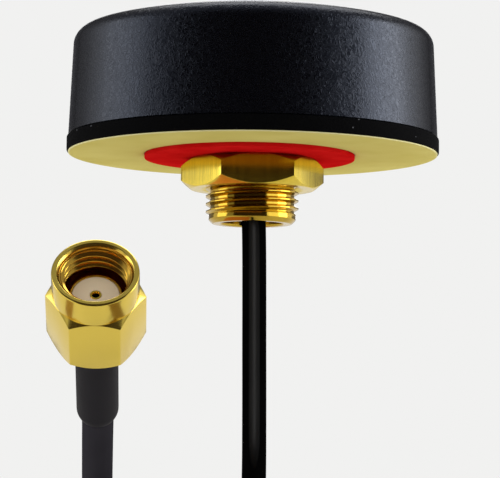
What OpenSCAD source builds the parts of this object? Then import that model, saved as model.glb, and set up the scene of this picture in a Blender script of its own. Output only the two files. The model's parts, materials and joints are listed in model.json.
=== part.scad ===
// Screw-mount mushroom antenna with its coaxial lead and plug.
// The origin is on the stud's axis, in the face that meets the panel.
// The cap stands above that face, and the stud, nut and lead hang below it.

/* [Cap] */
// Diameter of the cap at its lower rim
cap_rim_d = 47.5; // [45:0.1:52]
// How far the cap's side leans in from the rim up to the rounded shoulder
cap_draft = 0.5; // [0:0.1:1.2]
// Height of the shoulder's lower edge above the panel face
shoulder_z = 13.9; // [13:0.1:20]
// Radius of the rounded shoulder
shoulder_r = 2.1; // [1.2:0.1:4]
// Rise of the domed top above the shoulder
dome_rise = 2.7; // [1.5:0.1:6]
// Wall thickness of the cap
cap_wall = 2.2; // [1.8:0.1:2.8]
// Wall left outside the base plate at the cap's rim
rim_lip = 1.3; // [0.9:0.1:1.5]

/* [Base and pad] */
// Thickness of the release paper under the foam pad
liner_t = 0.15; // [0.1:0.05:0.3]
// Thickness of the foam pad
pad_t = 1.95; // [1.5:0.05:3]
// How far the foam pad stands out past the cap's rim
pad_proud = 0.2; // [0:0.05:0.4]
// How far the release paper's edge lies inside the pad's edge
liner_inset = 0.2; // [0:0.05:0.5]
// Clearance round the red washer in the hole of the pad and its paper
seat_clearance = 0.25; // [0.2:0.05:1]
// How far that hole's centre lies off the stud's axis
seat_offset = -0.4; // [-0.4:0.05:0]
// Depth of the washer's hard seat above the panel face
seat_recess = 0.05; // [0.05:0.05:0.1]
// Thickness of the base plate
base_t = 1.6; // [1.2:0.1:2.5]
// Height of the seal between base plate and cap
seal_h = 0.6; // [0.4:0.1:1]
// Width of that seal
seal_w = 1; // [0.8:0.1:1.2]

/* [Stud, nut and washer] */
// Outer diameter of the threaded stud
stud_d = 12; // [11:0.1:12.4]
// Wall of the hollow stud, to the crests of its thread
stud_wall = 2; // [1.6:0.1:2.6]
// Reach of the stud below the panel face
stud_reach = 8.9; // [7:0.1:20]
// How much smaller the plain end of the stud is, on the radius
pilot_step = 0.4; // [0.2:0.1:0.7]
// Length of the plain end of the stud with its chamfer
pilot_l = 1.1; // [0.8:0.1:2]
// Chamfer at the end of the stud
stud_chamfer = 0.5; // [0.3:0.1:0.8]
// Width of the stud's flange on the base plate
flange_w = 2.5; // [1:0.1:4]
// Thickness of that flange
flange_t = 1.5; // [1:0.1:2]
// Wall of the mounting nut outside the thread, at the middle of its flats
nut_wall = 2; // [1.8:0.1:3]
// Thickness of the mounting nut
nut_t = 3.9; // [3.5:0.1:5]
// Height of the chamfers on the mounting nut's corners
nut_chamfer = 1.05; // [0.4:0.05:1.3]
// How far the mounting nut is turned about the stud
nut_turn = 4.7; // [0:0.1:60]
// Diameter of the red washer
washer_d = 27.1; // [24:0.1:27.2]
// Thickness of the red washer
washer_t = 0.6; // [0.4:0.05:1]
// Clearance of the red washer round the stud
washer_slack = 0.7; // [0.6:0.05:1.2]

/* [Inner parts] */
// Gap between the ground board's edge and the cap's wall
board_edge_gap = 1.5; // [0.8:0.1:3]
// Thickness of the ground board
board_t = 1; // [0.6:0.1:1.6]
// Height of the ground board's pillars on the base plate
pillar_h = 2.6; // [2.4:0.1:3]
// Diameter of the pillars
pillar_d = 4.4; // [3.8:0.1:5]
// How far the pillars and screws stand in from the board's edge
pillar_inset = 3; // [2.6:0.1:5]
// Number of pillars and screws
pillar_count = 3; // [3:1:4]
// Shank diameter of the board screws
screw_d = 1.9; // [1.6:0.1:2.2]
// Diameter of the screws' heads
screw_head_d = 3.8; // [3.2:0.1:4.2]
// Thickness of the screws' heads
screw_head_t = 1.3; // [1:0.1:1.6]
// Depth of the screws in the pillars
screw_bite = 2; // [1.5:0.1:2.2]
// Diameter of the radiator plate
radiator_d = 26; // [23:0.5:28]
// Height of the radiator plate above the board
radiator_h = 4.8; // [4:0.1:5.5]
// Thickness of the radiator's sheet
radiator_t = 0.3; // [0.2:0.1:0.5]
// Width of the radiator's folded leg
leg_w = 3; // [2:0.5:5]
// Length of the foot at the end of that leg
foot_l = 1.6; // [1:0.1:2]
// Outer diameter of the spacer ring under the radiator
spacer_d = 20; // [16:0.5:21]
// Wall of the spacer ring
spacer_wall = 1; // [0.8:0.1:1.5]
// Diameter of the feed pin
feed_d = 1.2; // [1:0.1:1.6]

/* [Lead] */
// Diameter of the coaxial lead
lead_d = 3.1; // [2.7:0.1:3.2]
// Diameter over the lead's braid
braid_d = 2.1; // [1.8:0.1:2.1]
// Diameter of the lead's inner insulation
dielectric_d = 1.5; // [1.2:0.1:1.5]
// Diameter of the lead's core
core_d = 0.5; // [0.4:0.05:0.5]
// Length of the potting round the lead in the stud
potting_l = 6; // [4:0.5:8]
// Width of the cable tie's strap
tie_w = 2.5; // [2:0.1:3.6]
// Thickness of that strap
tie_t = 0.5; // [0.4:0.1:0.8]
// Side of the cable tie's lock
tie_lock = 3; // [2.8:0.1:4]
// Gap between the cable tie and the coil
tie_gap = 0.2; // [0.2:0.05:0.4]

/* [Plug] */
// Width across the flats of the coupling nut, and diameter of its round collar
plug_af = 8; // [7.5:0.1:9]
// Length of the coupling nut
plug_nut_l = 8.9; // [8:0.1:10]
// Height of the chamfers on the coupling nut's corners
plug_chamfer = 0.55; // [0.3:0.05:0.8]
// Length of the round collar at its mouth
collar_l = 2.8; // [2:0.1:3.4]
// Wall of the collar at the plain lip and at the chamber behind the thread
collar_wall = 0.7; // [0.6:0.05:0.9]
// Depth of the plain lip
lip_l = 0.6; // [0.3:0.1:0.8]
// Depth of the coupling thread below the plain lip
thread_step = 0.45; // [0.4:0.05:0.55]
// Length of the coupling thread
plug_thread_l = 2.4; // [2:0.1:2.6]
// Length of the coupling nut's back wall
back_wall = 1.7; // [1.4:0.1:2]
// How far the back wall reaches in past the chamber
back_step = 0.55; // [0.4:0.05:0.7]
// Gap between the coupling thread and the plug's inner shell
shell_gap = 0.45; // [0.35:0.05:0.7]
// Depth of the shell's front face in the mouth
shell_recess = 3.1; // [3.1:0.05:3.6]
// Thickness of the body's flange in the chamber
body_flange_t = 1.1; // [0.8:0.1:1.3]
// Wall of the inner shell round the white insulator
shell_wall = 0.2; // [0.15:0.05:0.4]
// Outer diameter of the centre socket
socket_d = 1.05; // [1:0.05:1.3]
// Diameter of the hole in the centre socket
socket_bore_d = 0.6; // [0.5:0.02:0.8]
// Depth of the hole in the centre socket
socket_depth = 2.6; // [2:0.1:3.5]
// Height of the plug's sealing ring
plug_seal_h = 0.7; // [0.5:0.1:1]
// Thickness of the snap ring that holds the coupling nut
snap_t = 0.4; // [0.3:0.05:0.5]
// Length of the crimp ferrule behind the coupling nut
ferrule_l = 9; // [8:0.5:9.5]
// Wall of the crimp ferrule
ferrule_wall = 0.25; // [0.2:0.05:0.3]
// Length of the heat-shrink sleeve
sleeve_l = 11.7; // [10.5:0.1:13]
// Wall of the heat-shrink sleeve
sleeve_wall = 0.16; // [0.12:0.02:0.3]

/* [Hidden] */
$fn = 96;

// Clearances between fitting pieces, each on the radius
thread_gap = 0.05;
turning_gap = 0.08;
glue_gap = 0.1;
press_gap = 0.02;

// Width across the flats of the mounting nut
nut_af = stud_d + 2 * nut_wall;

// Levels of the antenna, counted up from the panel face
pad_top = liner_t + pad_t;
base_top = pad_top + base_t;
flange_top = base_top + flange_t;
board_z = base_top + pillar_h;
board_top = board_z + board_t;
radiator_z = board_top + radiator_h;
stud_end = -stud_reach;
pilot_z = stud_end + pilot_l;
nut_top = seat_recess - washer_t;
nut_bottom = nut_top - nut_t;

// Radii of the cap's inside and of what it holds
cap_rim_r = cap_rim_d / 2;
cap_shoulder_r = cap_rim_r - cap_draft;
base_r = cap_rim_r - rim_lip - glue_gap;
board_r = cap_shoulder_r - cap_wall - board_edge_gap;
pillar_pcd = 2 * (board_r - pillar_inset);
inner_edge_r = 0.5;
inner_shoulder_z = shoulder_z + shoulder_r - inner_edge_r - cap_wall;
pad_r = cap_rim_r + pad_proud;
liner_r = pad_r - liner_inset;
seat_hole_r = washer_d / 2 + seat_clearance;
seat_r = seat_hole_r - glue_gap;
washer_hole_r = stud_d / 2 + washer_slack;
stud_bore_r = stud_d / 2 - stud_wall;
pilot_r = stud_d / 2 - pilot_step;

// The plug's place: the centre of its mouth, and how its axis leans
plug_at = [-14.1, -86.6, -21.4];
plug_tilt = 52.7;
plug_yaw = 2.4;

// Widths inside the plug, from the collar inwards
lip_d = plug_af - 2 * collar_wall;
chamber_d = lip_d;
plug_thread_d = lip_d - 2 * thread_step;
back_bore_d = chamber_d - 2 * back_step;
shell_d = plug_thread_d - 2 * shell_gap;
insulator_d = shell_d - 2 * shell_wall;

// Levels along the plug, counted from its mouth
thread_back = -lip_l - plug_thread_l;
chamber_back = back_wall - plug_nut_l;
flange_back = chamber_back + turning_gap;
flange_front = flange_back + body_flange_t;
snap_z = (chamber_back - plug_nut_l) / 2 - snap_t / 2;
neck_back = -plug_nut_l + turning_gap;
ferrule_back = neck_back - ferrule_l;
sleeve_front = -plug_nut_l - turning_gap;
sleeve_back = sleeve_front - sleeve_l;
stem_back = -14.5;
stem_d = dielectric_d + 0.5;
ferrule_r = lead_d / 2 + thread_gap + ferrule_wall;

// Route of the lead from the board down to the coil, on hand-set points
lead_drop_route = [[0, 0, flange_top], [0, 0, 1.5], [0, 0, -2], [0.08, 0, -5], [0.22, 0, -8.5],
                   [0.31, 0, -12], [0.38, 0, -18], [0.43, 0, -24], [0.49, 0, -30], [0.53, 0, -35.1],
                   [0.55, -0.9, -39.5], [0.5, -3.4, -43.2], [0.4, -7.1, -45.75], [0.2, -11.5, -46.65],
                   [-1.2, -17, -46.65], [-3.8, -22, -46.65], [-6.7, -27, -46.65], [-9.6, -32, -46.65],
                   [-12.3, -37, -46.65], [-14.2, -42, -46.65], [-15.2, -47, -46.65], [-15.4, -52, -46.65]];

// Route of the lead from the top of the coil up to the plug, on hand-set points
lead_tail_route = [[-15.4, -52, -43.55], [-15.4, -54, -43.55], [-15.4, -56.5, -43.2], [-15.4, -59, -42.1],
                   [-15.3, -61.6, -40.45], [-15.14, -64.3, -38.4], [-14.98, -66.9, -36.4],
                   [-14.816, -69.512, -34.429], [-14.7, -72.294, -32.308], [-14.583, -75.076, -30.187]];

// The coil lies on one spot, and the turns of its two layers touch
turns_across = 3.5;
coil_at = [8.5, -52];
coil_outer_r = 23.9;
coil_inner_r = coil_outer_r - turns_across * lead_d;
coil_bottom = -48.2;
coil_top = coil_bottom + 2 * lead_d;
lead_sides = 8;

function unit(v) = v / norm(v);

// Direction of a route at each of its points
function heading(p, i) = unit(p[min(i + 1, len(p) - 1)] - p[max(i - 1, 0)]);

// A side direction that is square to the route at every point
function side_of(h) = unit(cross(h, abs(h.x) > 0.9 ? [0, 1, 0] : [1, 0, 0]));

function ring_of(p, i, r, n) =
    let (h = heading(p, i), u = side_of(h), v = cross(h, u))
    [for (k = [0:n - 1]) p[i] + r * (cos(360 * k / n) * u + sin(360 * k / n) * v)];

module tube_along(p, d, n) {
    rings = len(p);
    points = [for (i = [0:rings - 1]) each ring_of(p, i, d / 2, n)];
    walls = [for (i = [0:rings - 2], k = [0:n - 1])
             [i * n + k, (i + 1) * n + k, (i + 1) * n + (k + 1) % n, i * n + (k + 1) % n]];
    start_cap = [[for (k = [0:n - 1]) k]];
    end_cap = [[for (k = [n - 1:-1:0]) (rings - 1) * n + k]];
    polyhedron(points = points, faces = concat(walls, start_cap, end_cap), convexity = 6);
}

module ring(outer_r, inner_r, bottom, top) {
    translate([0, 0, bottom])
        difference() {
            cylinder(r = outer_r, h = top - bottom);
            translate([0, 0, -1])
                cylinder(r = inner_r, h = top - bottom + 2);
        }
}

module disc(r, bottom, top) {
    translate([0, 0, bottom])
        cylinder(r = r, h = top - bottom);
}

module round_pattern(count, pcd) {
    for (k = [0:count - 1])
        rotate([0, 0, 90 + 360 * k / count])
            translate([pcd / 2, 0, 0])
                children();
}

// Half of the cap's section: side, rounded shoulder and dome
function cap_section(rim_r, side_r, rim_z, side_z, edge_r, rise) =
    let (dome_r = side_r - edge_r,
         turn = 90 - atan(2 * rise / dome_r),
         end = [dome_r + edge_r * cos(turn), side_z + edge_r * sin(turn)])
    concat([[0, rim_z], [rim_r, rim_z], [side_r, side_z]],
           [for (k = [1:6]) [dome_r + edge_r * cos(turn * k / 6), side_z + edge_r * sin(turn * k / 6)]],
           [for (k = [1:8]) [end.x * (1 - k / 8), end.y + rise * (1 - pow(1 - k / 8, 2))]]);

module hexagon_with_chamfers(af, bottom, top, chamfer) {
    corner_r = af / sqrt(3);
    intersection() {
        translate([0, 0, bottom])
            cylinder(d = 2 * corner_r, h = top - bottom, $fn = 6);
        rotate_extrude()
            polygon([[0, bottom], [af / 2, bottom], [corner_r, bottom + chamfer],
                     [corner_r, top - chamfer], [af / 2, top], [0, top]]);
    }
}

module at_plug() {
    translate(plug_at)
        rotate([plug_tilt, 0, plug_yaw])
            children();
}

module at_seat() {
    translate([seat_offset, 0, 0])
        children();
}

module radome_cap() {
    color("#121316")
        difference() {
            rotate_extrude()
                polygon(cap_section(cap_rim_r, cap_shoulder_r, pad_top, shoulder_z, shoulder_r, dome_rise));
            rotate_extrude()
                polygon(cap_section(cap_rim_r - cap_wall, cap_shoulder_r - cap_wall, pad_top - 1,
                                    inner_shoulder_z, inner_edge_r, dome_rise));
            disc(base_r + glue_gap, pad_top - 1, base_top + seal_h);
        }
}

module cap_seal() {
    color("#1b1b1d")
        ring(base_r, base_r - seal_w, base_top, base_top + seal_h);
}

module base_plate() {
    color("#202226")
        difference() {
            union() {
                disc(base_r, pad_top, base_top);
                at_seat()
                    disc(seat_r, seat_recess, pad_top + 0.5);
                round_pattern(pillar_count, pillar_pcd)
                    disc(pillar_d / 2, base_top - 0.5, board_z);
            }
            disc(stud_d / 2 + press_gap, -1, base_top + 1);
            round_pattern(pillar_count, pillar_pcd)
                disc(screw_d / 2 + thread_gap, board_z - screw_bite - 0.2, board_z + 1);
        }
}

module foam_pad() {
    color("#0c0c0d")
        difference() {
            disc(pad_r, liner_t, pad_top);
            at_seat()
                disc(seat_hole_r, 0, pad_top + 1);
        }
}

module pad_liner() {
    color("#c3b672")
        difference() {
            disc(liner_r, 0, liner_t);
            at_seat()
                disc(seat_hole_r, -1, liner_t + 1);
        }
}

module threaded_stud() {
    color("#d8a63a")
        difference() {
            union() {
                disc(stud_d / 2 + flange_w, base_top, flange_top);
                disc(stud_d / 2, pilot_z, base_top + 0.5);
                disc(pilot_r, stud_end + stud_chamfer, pilot_z + 0.5);
                translate([0, 0, stud_end])
                    cylinder(r1 = pilot_r - stud_chamfer, r2 = pilot_r, h = stud_chamfer);
            }
            disc(stud_bore_r, stud_end - 1, flange_top + 1);
        }
}

module red_washer() {
    color("#b01515")
        at_seat()
            ring(washer_d / 2, washer_hole_r, nut_top, seat_recess);
}

module mount_nut() {
    mouth_chamfer = 0.5;
    bore_r = stud_d / 2 + thread_gap;
    color("#d2b440")
        difference() {
            rotate([0, 0, nut_turn])
                hexagon_with_chamfers(nut_af, nut_bottom, nut_top, nut_chamfer);
            disc(bore_r, nut_bottom - 1, nut_top + 1);
            translate([0, 0, nut_bottom - 0.01])
                cylinder(r1 = bore_r + mouth_chamfer, r2 = bore_r, h = mouth_chamfer);
            translate([0, 0, nut_top - mouth_chamfer + 0.01])
                cylinder(r1 = bore_r, r2 = bore_r + mouth_chamfer, h = mouth_chamfer);
        }
}

module ground_board() {
    color("#1d5a34")
        difference() {
            disc(board_r, board_z, board_top);
            disc(braid_d / 2 + thread_gap, board_z - 1, board_top + 1);
            round_pattern(pillar_count, pillar_pcd)
                disc(screw_d / 2 + glue_gap, board_z - 1, board_top + 1);
        }
}

module board_screws() {
    slot_w = 0.5;
    slot_l = 2.2;
    color("#b9bcc0")
        round_pattern(pillar_count, pillar_pcd)
            difference() {
                union() {
                    disc(screw_d / 2, board_z - screw_bite, board_top + 0.5);
                    disc(screw_head_d / 2, board_top, board_top + screw_head_t);
                }
                for (turn = [0, 90])
                    rotate([0, 0, turn])
                        translate([-slot_l / 2, -slot_w / 2, board_top + screw_head_t / 2])
                            cube([slot_l, slot_w, screw_head_t]);
            }
}

module spacer_ring() {
    color("#e7e4da")
        ring(spacer_d / 2, spacer_d / 2 - spacer_wall, board_top, radiator_z);
}

module radiator_plate() {
    leg_x = -radiator_d / 2;
    color("#c98a4a")
        difference() {
            union() {
                disc(radiator_d / 2, radiator_z, radiator_z + radiator_t);
                translate([leg_x, -leg_w / 2, board_top])
                    cube([radiator_t, leg_w, radiator_h + radiator_t]);
                translate([leg_x - foot_l, -leg_w / 2, board_top])
                    cube([foot_l + radiator_t, leg_w, radiator_t]);
            }
            disc(feed_d / 2 + thread_gap, radiator_z - 1, radiator_z + radiator_t + 1);
        }
}

module feed_pin() {
    cup_depth = 1.4;
    color("#d8b24a")
        difference() {
            disc(feed_d / 2, board_top + 0.6, radiator_z + radiator_t + 0.2);
            disc(core_d / 2 + thread_gap, board_top, board_top + 0.6 + cup_depth);
        }
}

module solder_joints() {
    fillet_h = 0.5;
    color("#c4c6c8") {
        difference() {
            translate([0, 0, board_z - fillet_h])
                cylinder(r1 = braid_d / 2 + 0.3, r2 = braid_d / 2 + 1.1, h = fillet_h);
            disc(braid_d / 2, board_z - 1, board_z + 1);
        }
        difference() {
            translate([0, 0, radiator_z + radiator_t])
                cylinder(r1 = feed_d / 2 + 0.8, r2 = feed_d / 2 + 0.2, h = fillet_h);
            disc(feed_d / 2, radiator_z, radiator_z + 2);
        }
    }
}

module coax_braid() {
    color("#b8b4a8")
        ring(braid_d / 2, dielectric_d / 2, flange_top, board_z + board_t / 2);
}

module coax_insulation() {
    color("#e9e6df")
        ring(dielectric_d / 2, core_d / 2, flange_top, board_top + 0.6);
}

module coax_core() {
    color("#c88852")
        disc(core_d / 2, flange_top, board_top + 1.8);
}

module stud_potting() {
    color("#16161a")
        ring(stud_bore_r, lead_d / 2 + press_gap, flange_top - 1 - potting_l, flange_top - 1);
}

module lead_drop() {
    color("#1c1c1e")
        tube_along(lead_drop_route, lead_d, lead_sides);
}

module lead_coil() {
    round_r = lead_d / 2;
    inner = coil_inner_r - round_r;
    outer = coil_outer_r + round_r;
    color("#1c1c1e")
        translate([coil_at.x, coil_at.y, coil_bottom])
            rotate_extrude()
                polygon([[inner + 0.6, 0], [outer - 0.6, 0], [outer, 0.6], [outer, 2 * lead_d - 0.6],
                         [outer - 0.6, 2 * lead_d], [inner + 0.6, 2 * lead_d], [inner, 2 * lead_d - 0.6],
                         [inner, 0.6]]);
}

module cable_tie() {
    strap = tie_t + tie_gap;
    loop_l = (turns_across + 1) * lead_d + 2 * strap;
    loop_h = 2 * lead_d + 2 * strap;
    color("#0f0f10")
        translate([coil_at.x - coil_outer_r - lead_d / 2 - strap, coil_at.y - tie_w / 2, coil_bottom - strap])
            difference() {
                union() {
                    cube([loop_l, tie_w, loop_h]);
                    translate([loop_l - tie_t, tie_w / 2 - tie_lock / 2, loop_h / 2 - tie_lock / 2])
                        cube([tie_lock, tie_lock, tie_lock]);
                }
                translate([tie_t, -1, tie_t])
                    cube([loop_l - 2 * tie_t, tie_w + 2, loop_h - 2 * tie_t]);
            }
}

module lead_tail() {
    color("#1c1c1e")
        tube_along(lead_tail_route, lead_d, lead_sides);
}

module shrink_sleeve() {
    over_ferrule = ferrule_r + press_gap;
    over_lead = lead_d / 2 + thread_gap;
    outer = over_ferrule + sleeve_wall;
    shoulder = 0.7;
    color("#1f1e20")
        at_plug()
            difference() {
                union() {
                    disc(outer, sleeve_back + shoulder, sleeve_front);
                    translate([0, 0, sleeve_back])
                        cylinder(r1 = over_lead + sleeve_wall, r2 = outer, h = shoulder);
                }
                disc(over_lead, sleeve_back - 1, sleeve_front + 1);
                disc(over_ferrule, ferrule_back - press_gap, sleeve_front + 1);
            }
}

module crimp_ferrule() {
    color("#d4b04a")
        at_plug()
            ring(ferrule_r, lead_d / 2 + thread_gap, ferrule_back, neck_back);
}

module plug_body() {
    groove_r = back_bore_d / 2 - turning_gap - 0.5;
    neck_r = back_bore_d / 2 - turning_gap;
    color("#dcbc52")
        at_plug()
            difference() {
                union() {
                    disc(shell_d / 2, flange_front - 0.5, -shell_recess);
                    disc(chamber_d / 2 - turning_gap, flange_back, flange_front);
                    disc(neck_r, neck_back, flange_back + 0.5);
                    disc(stem_d / 2, stem_back, neck_back + 0.5);
                }
                disc(insulator_d / 2, neck_back + 1, 0);
                disc(dielectric_d / 2, stem_back - 1, 0);
                difference() {
                    disc(neck_r + 1, snap_z, snap_z + snap_t);
                    disc(groove_r, snap_z - 1, snap_z + snap_t + 1);
                }
            }
}

module snap_ring() {
    inner = back_bore_d / 2 - turning_gap - 0.5;
    color("#c9a646")
        at_plug()
            difference() {
                ring(back_bore_d / 2 + 0.3, inner, snap_z, snap_z + snap_t);
                translate([0, -0.5, snap_z - 1])
                    cube([chamber_d, 1, snap_t + 2]);
            }
}

module plug_seal() {
    color("#4a1512")
        at_plug()
            ring(chamber_d / 2 - turning_gap - 0.1, shell_d / 2 + press_gap, flange_front,
                 flange_front + plug_seal_h);
}

module plug_insulator() {
    color("#e6ded6")
        at_plug()
            difference() {
                disc(insulator_d / 2 - press_gap, neck_back + 1, -shell_recess - 0.05);
                disc(socket_d / 2 + press_gap, neck_back, 0);
            }
}

module centre_socket() {
    color("#d9b548")
        at_plug()
            difference() {
                disc(socket_d / 2, neck_back + 1, -shell_recess - 0.05);
                disc(socket_bore_d / 2, -shell_recess - socket_depth, 0);
            }
}

module coupling_nut() {
    groove_r = back_bore_d / 2 + 0.3 + turning_gap;
    edge = 0.25;
    color("#e0c04a")
        at_plug()
            difference() {
                union() {
                    hexagon_with_chamfers(plug_af, -plug_nut_l, -collar_l, plug_chamfer);
                    disc(plug_af / 2, -collar_l - 0.5, -edge);
                    translate([0, 0, -edge])
                        cylinder(r1 = plug_af / 2, r2 = plug_af / 2 - edge, h = edge);
                }
                disc(lip_d / 2, -lip_l, 1);
                disc(plug_thread_d / 2, thread_back - 1, 1);
                disc(chamber_d / 2, chamber_back, thread_back);
                disc(back_bore_d / 2, -plug_nut_l - 1, 0);
                disc(groove_r, snap_z - turning_gap, snap_z + snap_t + turning_gap);
            }
}

radome_cap();
cap_seal();
base_plate();
foam_pad();
pad_liner();
threaded_stud();
red_washer();
mount_nut();
ground_board();
board_screws();
spacer_ring();
radiator_plate();
feed_pin();
solder_joints();
coax_braid();
coax_insulation();
coax_core();
stud_potting();
lead_drop();
lead_coil();
cable_tie();
lead_tail();
shrink_sleeve();
crimp_ferrule();
plug_body();
snap_ring();
plug_seal();
plug_insulator();
centre_socket();
coupling_nut();
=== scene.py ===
# Looks of the mushroom antenna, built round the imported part, in the part's own frame.
# Pieces are shaped in millimetres and placed in metres.
import json
import math

import bmesh
import bpy
from mathutils import Matrix, Vector


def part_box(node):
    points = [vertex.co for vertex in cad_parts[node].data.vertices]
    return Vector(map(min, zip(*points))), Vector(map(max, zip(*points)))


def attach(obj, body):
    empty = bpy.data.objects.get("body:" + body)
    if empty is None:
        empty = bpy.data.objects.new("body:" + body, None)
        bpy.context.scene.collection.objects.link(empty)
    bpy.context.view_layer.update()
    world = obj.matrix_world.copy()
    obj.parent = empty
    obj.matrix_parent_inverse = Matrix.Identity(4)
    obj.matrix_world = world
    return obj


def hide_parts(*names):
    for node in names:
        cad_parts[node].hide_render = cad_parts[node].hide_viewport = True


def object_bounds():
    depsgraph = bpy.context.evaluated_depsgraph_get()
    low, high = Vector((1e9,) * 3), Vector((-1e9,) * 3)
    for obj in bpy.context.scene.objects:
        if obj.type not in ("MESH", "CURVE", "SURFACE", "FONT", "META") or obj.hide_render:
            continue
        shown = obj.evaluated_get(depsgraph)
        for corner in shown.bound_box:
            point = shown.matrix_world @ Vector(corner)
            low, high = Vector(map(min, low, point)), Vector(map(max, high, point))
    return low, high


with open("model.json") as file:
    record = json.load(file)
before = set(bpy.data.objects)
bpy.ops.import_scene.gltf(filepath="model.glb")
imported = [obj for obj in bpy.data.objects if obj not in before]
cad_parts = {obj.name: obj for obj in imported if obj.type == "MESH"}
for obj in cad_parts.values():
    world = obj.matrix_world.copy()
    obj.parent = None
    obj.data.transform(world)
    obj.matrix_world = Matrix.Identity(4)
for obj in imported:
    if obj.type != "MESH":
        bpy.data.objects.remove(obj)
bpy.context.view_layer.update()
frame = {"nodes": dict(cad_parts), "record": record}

MM = 0.001
COLUMNS = 120
WELD = 1e-4
CREST_FLAT = 0.125
ROOT_FLAT = 0.25


def box_mm(node):
    low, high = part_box(node)
    return low / MM, high / MM


# Places and sizes of the solids, in millimetres
cap_low, cap_high = box_mm("radome_cap")
pad_low, pad_high = box_mm("foam_pad")
liner_low, liner_high = box_mm("pad_liner")
washer_low, washer_high = box_mm("red_washer")
nut_low, nut_high = box_mm("mount_nut")
stud_low, stud_high = box_mm("threaded_stud")
tie_low, tie_high = box_mm("cable_tie")
plate_high = box_mm("base_plate")[1]
seal_high = box_mm("cap_seal")[1]

# Cap
cap_draft = 0.5
cap_wall = 2.2
shoulder_z = 13.9
shoulder_r = 2.1
dome_rise = 2.7
inner_edge_r = 0.5
rebate_r = 22.45
rebate_top = seal_high.z

# Washer, pad and paper
seat_offset = (washer_low.x + washer_high.x) / 2
washer_r = (washer_high.y - washer_low.y) / 2
washer_hole_r = 6.7
seat_hole_r = 13.8
liner_hole_r = 13.62

# Nut and stud
nut_af = 16
nut_turned = 4.7
nut_chamfer = 1.05
nut_bore_r = 6.05
mouth_chamfer = 0.5
stud_r = 6
stud_bore_r = 4
stud_pitch = 1
stud_groove = 0.56
stud_phase = 0.6
pilot_r = 5.6
pilot_z = -7.8
stud_chamfer = 0.5
flange_r = 8.5
flange_base = plate_high.z - 2.6

# Plug, along its own axis from its mouth inwards
PLUG_AT = Vector((-14.1, -86.6, -21.4))
PLUG_TILT = 52.7
PLUG_YAW = 2.4
plug_af = 8
plug_chamfer = 0.55
plug_pitch = 0.7056
plug_groove = 0.33
lip_r = 3.3
lip_back = -0.6
thread_r = 2.85
thread_back = -3.0
chamber_back = -7.2
collar_back = -2.8
plug_back = -8.9
back_bore_r = 2.75
snap_groove_r = 3.13
snap_groove = (-8.33, -7.77)
shell_r = 2.4
shell_front = -3.1
insulator_r = 2.18
socket_r = 0.525
socket_bore_r = 0.3
face_back = -7.82
flange_back = -7.12
flange_front = -6.02
neck_back = -8.82
neck_r = 2.67
seal_r = 3.12
seal_h = 0.7
sleeve_r = 2.03
sleeve_front = -8.98
sleeve_back = -20.68
ferrule_back = -17.84
ferrule_r = 1.87
sleeve_bore_r = 1.6

# Lead: given points down to the coil and up from it, in millimetres
LEAD_D = 3.1
DROP_ROUTE = [(0, 0, 5.2), (0, 0, 1.5), (0, 0, -2), (0.08, 0, -5), (0.22, 0, -8.5),
              (0.31, 0, -12), (0.38, 0, -18), (0.43, 0, -24), (0.49, 0, -30), (0.53, 0, -35.1),
              (0.55, -0.9, -39.5), (0.5, -3.4, -43.2), (0.4, -7.1, -45.75), (0.2, -11.5, -46.65),
              (-1.2, -17, -46.65), (-3.8, -22, -46.65), (-6.7, -27, -46.65), (-9.6, -32, -46.65),
              (-12.3, -37, -46.65), (-14.2, -42, -46.65), (-15.2, -47, -46.65), (-15.4, -52, -46.65)]
TAIL_ROUTE = [(-15.4, -52, -43.55), (-15.4, -54, -43.55), (-15.4, -56.5, -43.2), (-15.4, -59, -42.1),
              (-15.3, -61.6, -40.45), (-15.14, -64.3, -38.4), (-14.98, -66.9, -36.4),
              (-14.816, -69.512, -34.429), (-14.7, -72.294, -32.308), (-14.583, -75.076, -30.187)]
COIL_AT = (8.5, -52)
COIL_OUTER_R = 23.9
COIL_TURNS = 7
COIL_LOW = -46.65
COIL_HIGH = -43.55
COIL_POINTS = 24
CLIMB = 0.25


def make_camera():
    data = bpy.data.cameras.new("camera")
    data.lens = 163.1
    data.sensor_width = 36
    data.clip_start = 0.01
    data.clip_end = 20
    eye = bpy.data.objects.new("camera", data)
    eye.location = Vector((-0.15, -290, -35.9)) * MM
    eye.rotation_euler = (math.radians(94.946), math.radians(-0.55), math.radians(-0.03))
    bpy.context.scene.collection.objects.link(eye)
    bpy.context.scene.camera = eye


def coil_point(turn):
    """A point of the coil: inwards on the lower layer, then outwards on the upper one."""
    half = COIL_TURNS / 2
    radius = COIL_OUTER_R - LEAD_D * (turn if turn < half else COIL_TURNS - turn)
    climbed = min(max((turn - half) / CLIMB + 0.5, 0), 1)
    angle = math.pi * (1 + 2 * turn)
    return (COIL_AT[0] + radius * math.cos(angle), COIL_AT[1] + radius * math.sin(angle),
            COIL_LOW + (COIL_HIGH - COIL_LOW) * climbed)


def make_lead():
    """The whole lead as one open spline."""
    coil = [coil_point(k / COIL_POINTS) for k in range(1, COIL_TURNS * COIL_POINTS)]
    route = DROP_ROUTE + coil + TAIL_ROUTE
    data = bpy.data.curves.new("lead", "CURVE")
    data.dimensions = "3D"
    data.bevel_depth = LEAD_D / 2 * MM
    data.bevel_resolution = 5
    data.resolution_u = 4
    data.use_fill_caps = True
    spline = data.splines.new("BEZIER")
    spline.bezier_points.add(len(route) - 1)
    for point, place in zip(spline.bezier_points, route):
        point.co = Vector(place) * MM
        point.handle_left_type = "AUTO"
        point.handle_right_type = "AUTO"
    lead = bpy.data.objects.new("lead", data)
    bpy.context.scene.collection.objects.link(lead)
    return lead


make_camera()
lead = make_lead()


# Node helpers


def feed(tree, value, socket):
    """Links a socket to another, or sets it to a value."""
    if isinstance(value, bpy.types.NodeSocket):
        tree.links.new(value, socket)
    else:
        socket.default_value = value


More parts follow.
